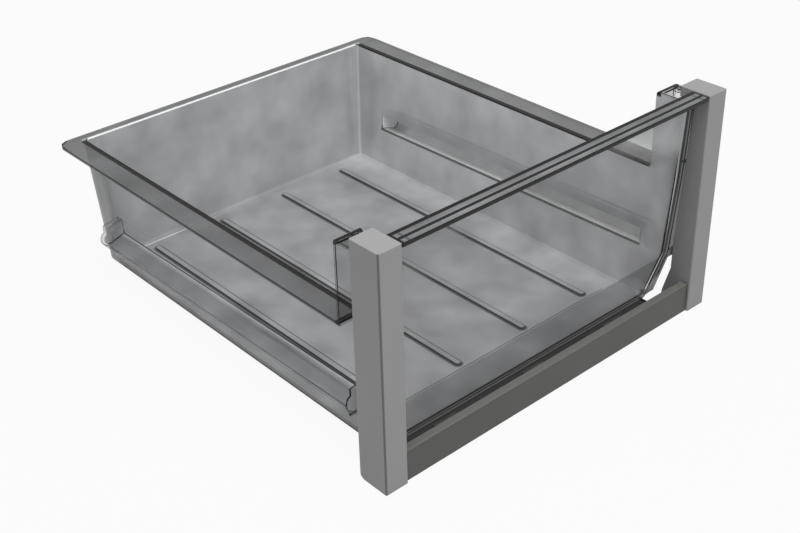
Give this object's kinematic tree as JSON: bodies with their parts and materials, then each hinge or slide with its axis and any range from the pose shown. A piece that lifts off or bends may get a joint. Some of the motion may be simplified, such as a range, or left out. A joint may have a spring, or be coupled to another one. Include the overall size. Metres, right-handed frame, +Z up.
{
  "type": "freezer drawer",
  "caption": "Clear moulded freezer drawer: ribbed floor, flanged rim, side runner rails and a grip lip, with silver end posts and a trim strip along the foot of its front.",
  "frame": {"origin": "middle of the drawer's footprint, on the surface that it stands on", "axes": "+X to the right seen from the front, +Y from the front to the back, +Z up; the front with the posts and the grip lip faces -Y"},
  "size_m": [0.38, 0.454, 0.209],
  "materials": {
    "clear_plastic": "clear polished moulding, slightly smoky",
    "silver_plastic": "fine satin silver-grey moulding",
    "olive_plastic": "satin olive-grey moulding"
  },
  "bodies": {
    "root": {"bin": "clear_plastic", "left_post": "silver_plastic", "right_post": "silver_plastic", "front_trim": "olive_plastic"}
  },
  "joints": []
}
